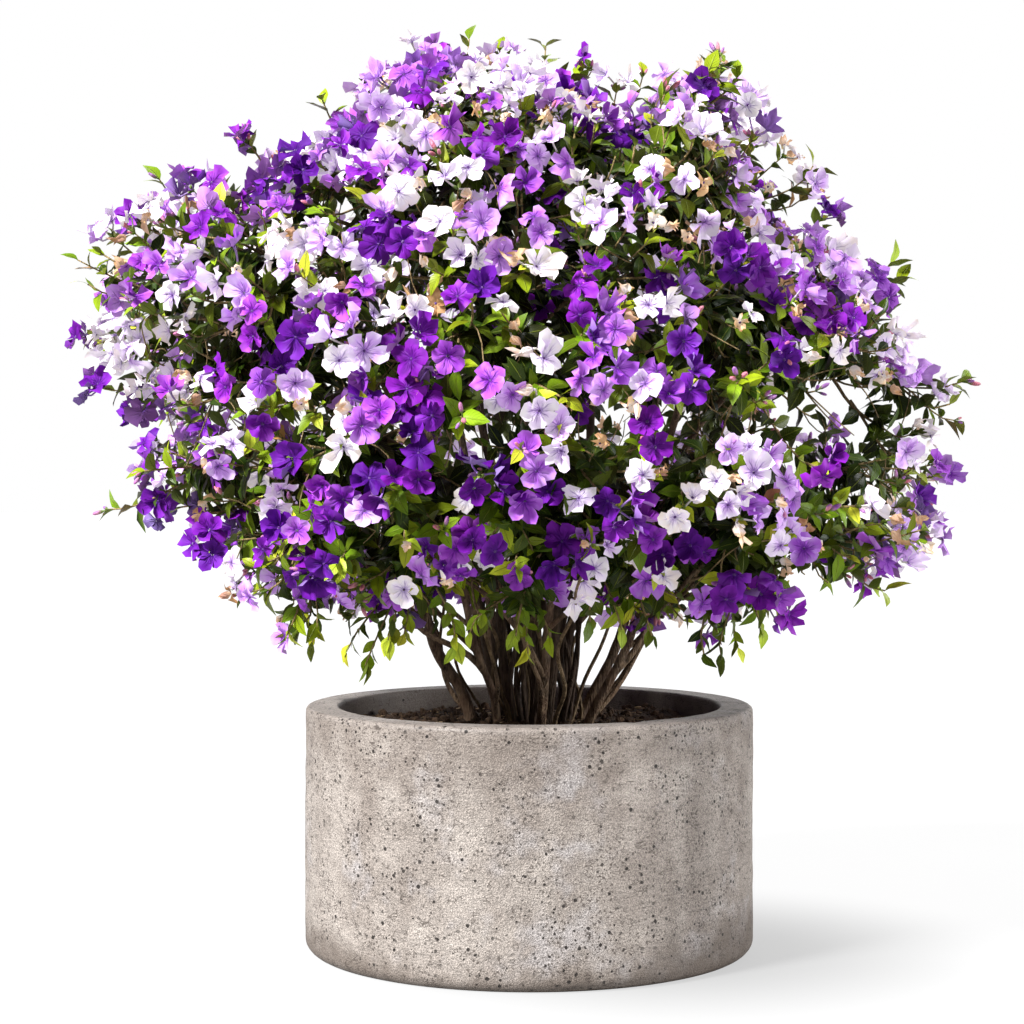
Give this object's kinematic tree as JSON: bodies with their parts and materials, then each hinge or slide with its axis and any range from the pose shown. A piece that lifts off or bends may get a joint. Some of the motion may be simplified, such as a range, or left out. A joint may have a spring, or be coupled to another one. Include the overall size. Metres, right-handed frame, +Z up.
{
  "type": "potted flowering shrub",
  "caption": "Multi-stemmed flowering shrub with violet, lavender and white five-lobed blooms, in a round thick-walled concrete planter.",
  "frame": {"origin": "centre of the planter's flat underside", "axes": "+Z up; the picture looks along +Y, with +X to the right"},
  "size_m": [0.9852, 0.8635, 0.9778],
  "materials": {
    "concrete": "cast concrete, fine pits",
    "soil": "crumbly, damp",
    "bark": "rough bark",
    "leaf": "satin leaf",
    "petal_violet": "soft petal",
    "petal_lavender": "soft petal",
    "petal_white": "soft petal"
  },
  "bodies": {
    "root": {"flower_cluster_01": "petal_violet", "flower_cluster_02": "petal_lavender", "flower_cluster_03": "petal_violet", "flower_cluster_04": "petal_white", "flower_cluster_05": "petal_violet", "flower_cluster_06": "petal_lavender", "flower_cluster_07": "petal_violet", "flower_cluster_08": "petal_lavender", "flower_cluster_09": "petal_violet", "flower_cluster_10": "petal_white", "flower_cluster_11": "petal_violet", "flower_cluster_12": "petal_lavender", "flower_cluster_13": "petal_violet", "flower_cluster_14": "petal_lavender", "flower_cluster_15": "petal_violet", "flower_cluster_16": "petal_white", "flower_cluster_17": "petal_violet", "flower_cluster_18": "petal_lavender", "flower_cluster_19": "petal_violet", "flower_cluster_20": "petal_lavender", "flower_cluster_21": "petal_violet", "leaf_spray_01": "leaf", "leaf_spray_02": "leaf", "leaf_spray_03": "leaf", "leaf_spray_04": "leaf", "leaf_spray_05": "leaf", "leaf_spray_06": "leaf", "leaf_spray_07": "leaf", "leaf_spray_08": "leaf", "leaf_spray_09": "leaf", "leaf_spray_10": "leaf", "leaf_spray_11": "leaf", "leaf_spray_12": "leaf", "leaf_spray_13": "leaf", "leaf_spray_14": "leaf", "leaf_spray_15": "leaf", "leaf_spray_16": "leaf", "leaf_spray_17": "leaf", "leaf_spray_18": "leaf", "leaf_spray_19": "leaf", "leaf_spray_20": "leaf", "leaf_spray_21": "leaf", "planter": "concrete", "potting_soil": "soil", "root_crown": "bark", "stem_01": "bark", "stem_02": "bark", "stem_03": "bark", "stem_04": "bark", "stem_05": "bark", "stem_06": "bark", "stem_07": "bark", "stem_08": "bark", "stem_09": "bark", "stem_10": "bark", "stem_11": "bark", "stem_12": "bark", "stem_13": "bark"}
  },
  "joints": []
}
